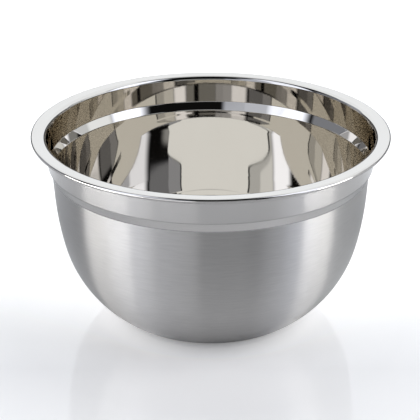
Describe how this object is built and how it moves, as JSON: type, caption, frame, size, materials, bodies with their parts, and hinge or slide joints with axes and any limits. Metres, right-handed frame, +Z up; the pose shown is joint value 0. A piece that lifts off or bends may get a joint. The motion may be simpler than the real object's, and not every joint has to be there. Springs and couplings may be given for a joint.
{
  "type": "mixing bowl",
  "caption": "Deep round-bottomed steel mixing bowl with a stepped collar, a wide flat pouring rim with a curled edge, and a flat foot.",
  "frame": {"origin": "centre of the foot's underside, on the surface that the bowl stands on", "axes": "+Z up along the bowl's axis, out of its mouth; the bowl is round, so X and Y are free"},
  "size_m": [0.24, 0.24, 0.1337],
  "materials": {
    "stainless_steel": "mirror-polished inside and on the rim, fine satin brushed around the outside of the body"
  },
  "bodies": {
    "root": {"bowl_shell": "stainless_steel"}
  },
  "joints": []
}
